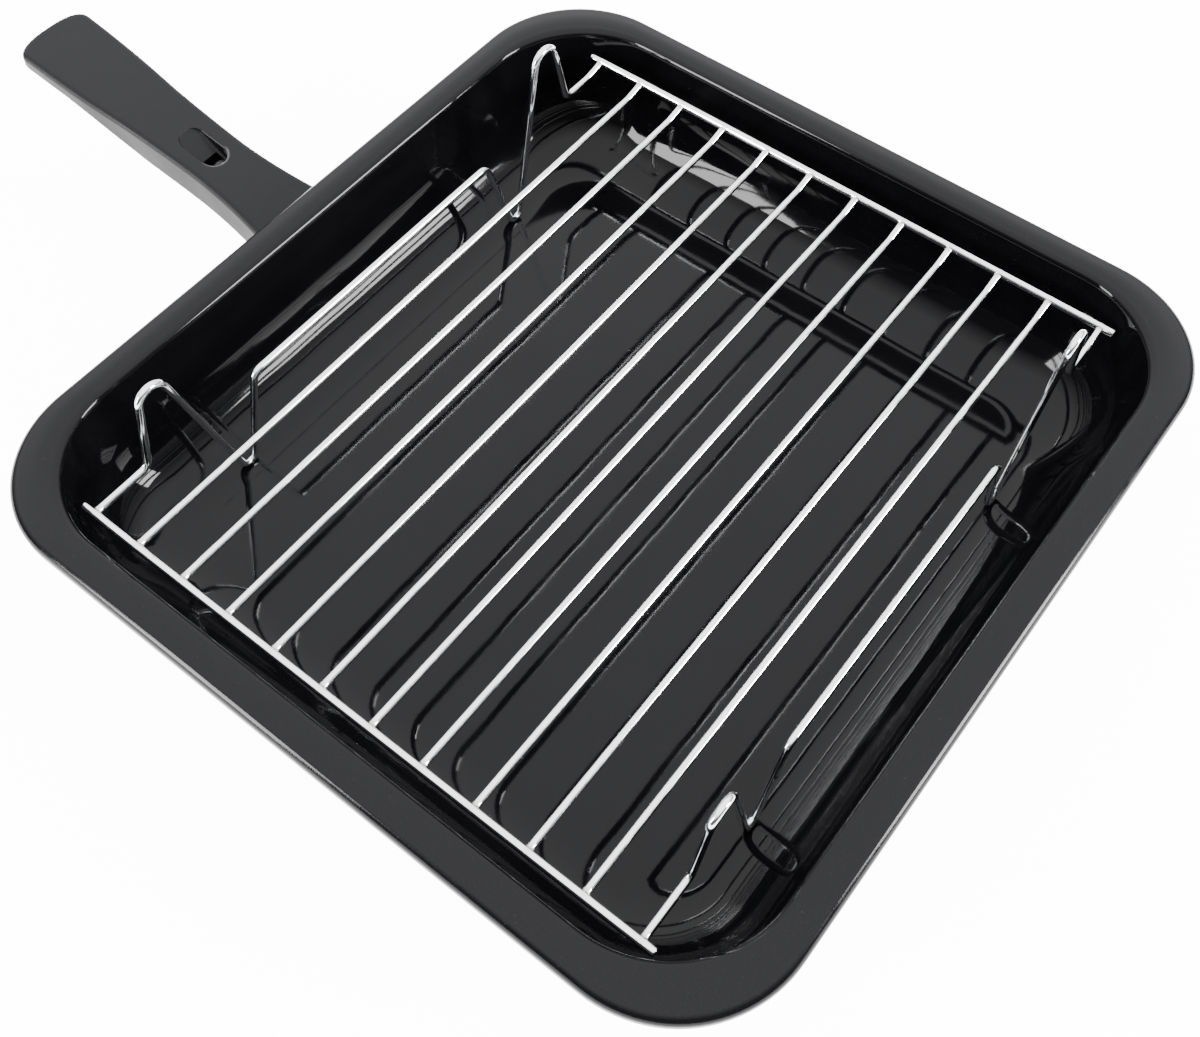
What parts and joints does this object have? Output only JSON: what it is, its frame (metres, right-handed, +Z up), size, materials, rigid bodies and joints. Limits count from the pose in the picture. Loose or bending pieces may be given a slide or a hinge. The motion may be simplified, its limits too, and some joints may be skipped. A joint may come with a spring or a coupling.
{
  "type": "grill pan with wire rack",
  "caption": "Deep square enamelled grill pan with a reversible chromed wire rack standing in it and a moulded handle screwed to a bracket under one rim.",
  "frame": {"origin": "centre of the pan's flat underside, which stands on the ground plane", "axes": "+Z up out of the pan's mouth, -X out along the handle, the rack's rails run along X and its long wires along Y"},
  "size_m": [0.473, 0.34, 0.0801],
  "materials": {
    "pan": "glossy black vitreous enamel over pressed steel",
    "handle_bracket": "zinc plated steel",
    "handle_nut": "zinc plated steel",
    "rack_rail_front": "bright chrome plate over drawn steel wire",
    "rack_rail_back": "bright chrome plate over drawn steel wire",
    "rack_wire_01": "bright chrome plate over drawn steel wire",
    "rack_wire_02": "bright chrome plate over drawn steel wire",
    "rack_wire_03": "bright chrome plate over drawn steel wire",
    "rack_wire_04": "bright chrome plate over drawn steel wire",
    "rack_wire_05": "bright chrome plate over drawn steel wire",
    "rack_wire_06": "bright chrome plate over drawn steel wire",
    "rack_wire_07": "bright chrome plate over drawn steel wire",
    "rack_wire_08": "bright chrome plate over drawn steel wire",
    "rack_wire_09": "bright chrome plate over drawn steel wire",
    "rack_wire_10": "bright chrome plate over drawn steel wire",
    "rack_leg_wire_left": "bright chrome plate over drawn steel wire",
    "rack_leg_wire_right": "bright chrome plate over drawn steel wire",
    "handle_grip": "satin black moulded phenolic",
    "handle_washer": "zinc plated steel",
    "handle_screw": "zinc plated steel"
  },
  "bodies": {
    "pan_body": {"pan": "pan", "handle_bracket": "handle_bracket", "handle_nut": "handle_nut"},
    "rack_body": {"rack_rail_front": "rack_rail_front", "rack_rail_back": "rack_rail_back", "rack_wire_01": "rack_wire_01", "rack_wire_02": "rack_wire_02", "rack_wire_03": "rack_wire_03", "rack_wire_04": "rack_wire_04", "rack_wire_05": "rack_wire_05", "rack_wire_06": "rack_wire_06", "rack_wire_07": "rack_wire_07", "rack_wire_08": "rack_wire_08", "rack_wire_09": "rack_wire_09", "rack_wire_10": "rack_wire_10", "rack_leg_wire_left": "rack_leg_wire_left", "rack_leg_wire_right": "rack_leg_wire_right"},
    "handle_body": {"handle_grip": "handle_grip", "handle_washer": "handle_washer"},
    "screw_body": {"handle_screw": "handle_screw"}
  },
  "joints": [
    {"name": "rack_lift", "type": "slide", "parent": "pan_body", "child": "rack_body", "axis": [0, 0, 1], "range_m": [0, 0.08]},
    {"name": "handle_pull", "type": "slide", "parent": "pan_body", "child": "handle_body", "axis": [-0.9877, 0, 0.1564], "range_m": [0, 0.05]},
    {"name": "screw_turn", "type": "hinge", "parent": "handle_body", "child": "screw_body", "pos_m": [-0.20852, 0, 0.04393], "axis": [-0.9877, 0, 0.1564], "continuous": true}
  ]
}
